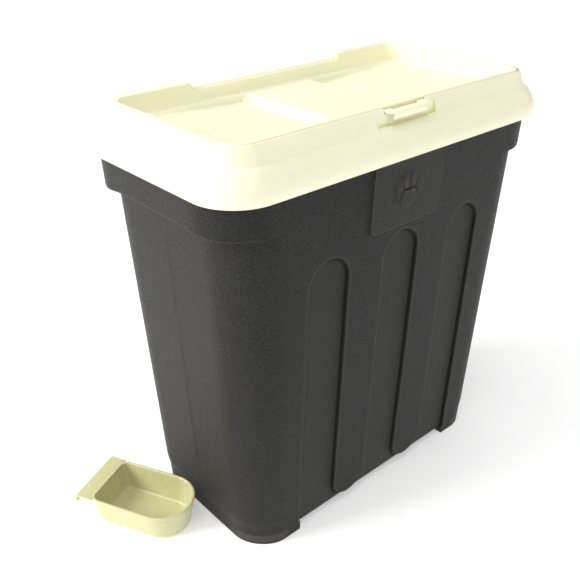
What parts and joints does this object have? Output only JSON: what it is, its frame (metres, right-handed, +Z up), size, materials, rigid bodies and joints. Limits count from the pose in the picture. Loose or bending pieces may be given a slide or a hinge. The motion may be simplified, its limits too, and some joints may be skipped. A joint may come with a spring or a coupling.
{
  "type": "pet food storage bin",
  "caption": "Tall tapered food bin with a lift-off lid, a hinged tray-shaped flap with a finger clip, and a loose D-shaped scoop.",
  "frame": {"origin": "on the floor under the middle of the box that holds the bin and its scoop", "axes": "+Z up; +X along the long side of the tub, to the right as seen from the front; the front with the clip faces -Y"},
  "size_m": [0.4446, 0.2082, 0.39],
  "materials": {
    "tub_plastic": "fine spark-eroded grain",
    "lid_plastic": "satin",
    "pin_plastic": "satin",
    "scoop_plastic": "semi-gloss"
  },
  "bodies": {
    "tub": {"container": "tub_plastic"},
    "lid": {"lid_frame": "lid_plastic"},
    "flap": {"lid_flap": "lid_plastic", "hinge_pin_left": "pin_plastic", "hinge_pin_right": "pin_plastic"},
    "clip": {"flap_clip": "lid_plastic"},
    "scoop": {"scoop": "scoop_plastic"}
  },
  "joints": [
    {"name": "lid_lift", "type": "slide", "parent": "tub", "child": "lid", "axis": [0, 0, 1], "range_m": [0, 0.45]},
    {"name": "flap_hinge", "type": "hinge", "parent": "lid", "child": "flap", "pos_m": [0.03272, 0.083, 0.3803], "axis": [-1, 0, 0], "range_deg": [0, 100]},
    {"name": "clip_bend", "type": "hinge", "parent": "flap", "child": "clip", "pos_m": [0.03272, -0.0867, 0.3871], "axis": [-1, 0, 0], "range_deg": [0, 15], "stiffness_Nm_per_rad": 0.2},
    {"name": "scoop_lift", "type": "slide", "parent": "tub", "child": "scoop", "axis": [-0.7071, 0, 0.7071], "range_m": [0, 0.4]}
  ]
}
